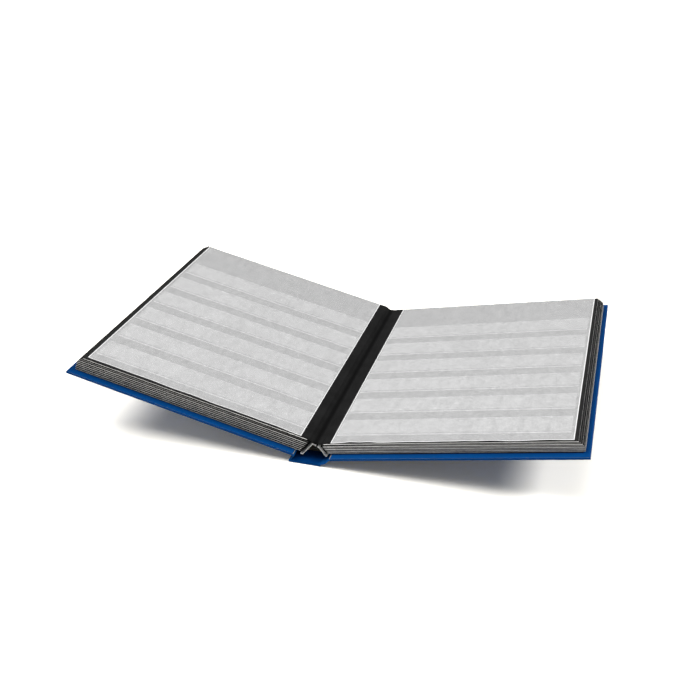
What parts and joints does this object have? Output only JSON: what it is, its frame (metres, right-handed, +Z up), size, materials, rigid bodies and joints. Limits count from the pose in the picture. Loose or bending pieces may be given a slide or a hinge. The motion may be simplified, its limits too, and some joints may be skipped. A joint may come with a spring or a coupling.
{
  "type": "stamp stock book",
  "caption": "Small hardback stock book for stamps, lying open on its spine, with black card leaves, clear glassine strips and loose glassine sheets between the pages.",
  "frame": {"origin": "centre of the spine's underside, on the surface the album lies on", "axes": "+X to the right across the open book, +Y from tail to head of the pages, +Z up"},
  "size_m": [0.3566, 0.226, 0.054],
  "materials": {
    "greyboard": "raw greyboard",
    "blue_covering": "fine-grained satin covering paper",
    "black_endpaper": "matt",
    "back_lining": "matt",
    "black_card": "matt",
    "black_linen": "fine plain weave",
    "glassine": "translucent, faint sheen",
    "interleaf": "translucent, faint sheen"
  },
  "bodies": {
    "spine": {"spine_board": "greyboard", "spine_covering": "blue_covering", "joint_cloth": "blue_covering", "spine_lining": "back_lining"},
    "front_cover": {"front_board": "greyboard", "front_covering": "blue_covering", "front_endpaper": "black_endpaper"},
    "back_cover": {"back_board": "greyboard", "back_covering": "blue_covering", "back_endpaper": "black_endpaper"},
    "leaf_01": {"leaf_01": "black_card", "guard_01": "black_linen", "glassine_01": "glassine"},
    "leaf_02": {"leaf_02": "black_card", "guard_02": "black_linen", "glassine_02": "glassine"},
    "leaf_03": {"leaf_03": "black_card", "guard_03": "black_linen", "glassine_03": "glassine"},
    "leaf_04": {"leaf_04": "black_card", "guard_04": "black_linen", "glassine_04": "glassine"},
    "leaf_05": {"leaf_05": "black_card", "guard_05": "black_linen", "glassine_05": "glassine"},
    "leaf_06": {"leaf_06": "black_card", "guard_06": "black_linen", "glassine_06": "glassine"},
    "leaf_07": {"leaf_07": "black_card", "guard_07": "black_linen", "glassine_07": "glassine"},
    "leaf_08": {"leaf_08": "black_card", "guard_08": "black_linen", "glassine_08": "glassine"},
    "leaf_09": {"leaf_09": "black_card", "guard_09": "black_linen", "glassine_09": "glassine"},
    "leaf_10": {"leaf_10": "black_card", "guard_10": "black_linen", "glassine_10": "glassine"},
    "leaf_11": {"leaf_11": "black_card", "guard_11": "black_linen", "glassine_11": "glassine"},
    "leaf_12": {"leaf_12": "black_card", "guard_12": "black_linen", "glassine_12": "glassine"},
    "leaf_13": {"leaf_13": "black_card", "guard_13": "black_linen", "glassine_13": "glassine"},
    "leaf_14": {"leaf_14": "black_card", "guard_14": "black_linen", "glassine_14": "glassine"},
    "leaf_15": {"leaf_15": "black_card", "guard_15": "black_linen", "glassine_15": "glassine"},
    "leaf_16": {"leaf_16": "black_card", "guard_16": "black_linen", "glassine_16": "glassine"},
    "interleaf_left": {"interleaf_left": "interleaf"},
    "interleaf_right": {"interleaf_right": "interleaf"}
  },
  "joints": [
    {"name": "cover_hinge_front", "type": "hinge", "parent": "spine", "child": "front_cover", "pos_m": [-0.00887, 0, 0.00753], "axis": [0, 1, 0], "range_deg": [-12, 76.9], "deforming": ["joint_cloth", "spine_lining"]},
    {"name": "cover_hinge_back", "type": "hinge", "parent": "spine", "child": "back_cover", "pos_m": [0.01369, 0, 0.00214], "axis": [0, -1, 0], "range_deg": [-12.38, 79.1]},
    {"name": "leaf_hinge_01", "type": "hinge", "parent": "spine", "child": "leaf_01", "pos_m": [-0.00796, 0, 0.00801], "axis": [0, 1, 0], "range_deg": [-12, 76.9]},
    {"name": "leaf_hinge_02", "type": "hinge", "parent": "spine", "child": "leaf_02", "pos_m": [-0.00773, 0, 0.00871], "axis": [0, 1, 0], "range_deg": [-12, 76.9]},
    {"name": "leaf_hinge_03", "type": "hinge", "parent": "spine", "child": "leaf_03", "pos_m": [-0.00749, 0, 0.0094], "axis": [0, 1, 0], "range_deg": [-12, 76.9]},
    {"name": "leaf_hinge_04", "type": "hinge", "parent": "spine", "child": "leaf_04", "pos_m": [-0.00726, 0, 0.0101], "axis": [0, 1, 0], "range_deg": [-12, 76.9]},
    {"name": "leaf_hinge_05", "type": "hinge", "parent": "spine", "child": "leaf_05", "pos_m": [-0.00702, 0, 0.01079], "axis": [0, 1, 0], "range_deg": [-12, 76.9]},
    {"name": "leaf_hinge_06", "type": "hinge", "parent": "spine", "child": "leaf_06", "pos_m": [-0.00679, 0, 0.01149], "axis": [0, 1, 0], "range_deg": [-12, 76.9]},
    {"name": "leaf_hinge_07", "type": "hinge", "parent": "spine", "child": "leaf_07", "pos_m": [-0.00655, 0, 0.01219], "axis": [0, 1, 0], "range_deg": [-12, 76.9]},
    {"name": "leaf_hinge_10", "type": "hinge", "parent": "spine", "child": "leaf_10", "pos_m": [0.01117, 0, 0.00385], "axis": [0, -1, 0], "range_deg": [-12.38, 79.1]},
    {"name": "leaf_hinge_11", "type": "hinge", "parent": "spine", "child": "leaf_11", "pos_m": [0.0116, 0, 0.00359], "axis": [0, -1, 0], "range_deg": [-12.38, 79.1]},
    {"name": "leaf_hinge_12", "type": "hinge", "parent": "spine", "child": "leaf_12", "pos_m": [0.01202, 0, 0.00333], "axis": [0, -1, 0], "range_deg": [-12.38, 79.1]},
    {"name": "leaf_hinge_13", "type": "hinge", "parent": "spine", "child": "leaf_13", "pos_m": [0.01244, 0, 0.00308], "axis": [0, -1, 0], "range_deg": [-12.38, 79.1]},
    {"name": "leaf_hinge_14", "type": "hinge", "parent": "spine", "child": "leaf_14", "pos_m": [0.01286, 0, 0.00282], "axis": [0, -1, 0], "range_deg": [-12.38, 79.1]},
    {"name": "leaf_hinge_15", "type": "hinge", "parent": "spine", "child": "leaf_15", "pos_m": [0.01328, 0, 0.00256], "axis": [0, -1, 0], "range_deg": [-12.38, 79.1]},
    {"name": "leaf_hinge_16", "type": "hinge", "parent": "spine", "child": "leaf_16", "pos_m": [0.01371, 0, 0.0023], "axis": [0, -1, 0], "range_deg": [-12.38, 79.1]},
    {"name": "leaf_turn_08", "type": "hinge", "parent": "leaf_07", "child": "leaf_08", "pos_m": [0.0064, 0, 0.0157], "axis": [0, -1, 0], "range_deg": [-155, 0]},
    {"name": "leaf_turn_09", "type": "hinge", "parent": "leaf_10", "child": "leaf_09", "pos_m": [0.0064, 0, 0.0157], "axis": [0, 1, 0], "range_deg": [-155, 0]},
    {"name": "interleaf_lift_left", "type": "hinge", "parent": "leaf_08", "child": "interleaf_left", "pos_m": [-0.00408, 0, 0.01773], "axis": [0, -1, 0], "range_deg": [-24, 0]},
    {"name": "interleaf_lift_right", "type": "hinge", "parent": "leaf_09", "child": "interleaf_right", "pos_m": [0.01636, 0, 0.01563], "axis": [0, 1, 0], "range_deg": [-24, 0]}
  ],
  "couplings": [
    {"joint": "cover_hinge_back", "follows": "cover_hinge_front", "ratio": 1.028},
    {"joint": "leaf_hinge_01", "follows": "cover_hinge_front", "ratio": 1},
    {"joint": "leaf_hinge_02", "follows": "cover_hinge_front", "ratio": 1},
    {"joint": "leaf_hinge_03", "follows": "cover_hinge_front", "ratio": 1},
    {"joint": "leaf_hinge_04", "follows": "cover_hinge_front", "ratio": 1},
    {"joint": "leaf_hinge_05", "follows": "cover_hinge_front", "ratio": 1},
    {"joint": "leaf_hinge_06", "follows": "cover_hinge_front", "ratio": 1},
    {"joint": "leaf_hinge_07", "follows": "cover_hinge_front", "ratio": 1},
    {"joint": "leaf_hinge_10", "follows": "cover_hinge_front", "ratio": 1.028},
    {"joint": "leaf_hinge_11", "follows": "cover_hinge_front", "ratio": 1.028},
    {"joint": "leaf_hinge_12", "follows": "cover_hinge_front", "ratio": 1.028},
    {"joint": "leaf_hinge_13", "follows": "cover_hinge_front", "ratio": 1.028},
    {"joint": "leaf_hinge_14", "follows": "cover_hinge_front", "ratio": 1.028},
    {"joint": "leaf_hinge_15", "follows": "cover_hinge_front", "ratio": 1.028},
    {"joint": "leaf_hinge_16", "follows": "cover_hinge_front", "ratio": 1.028}
  ]
}
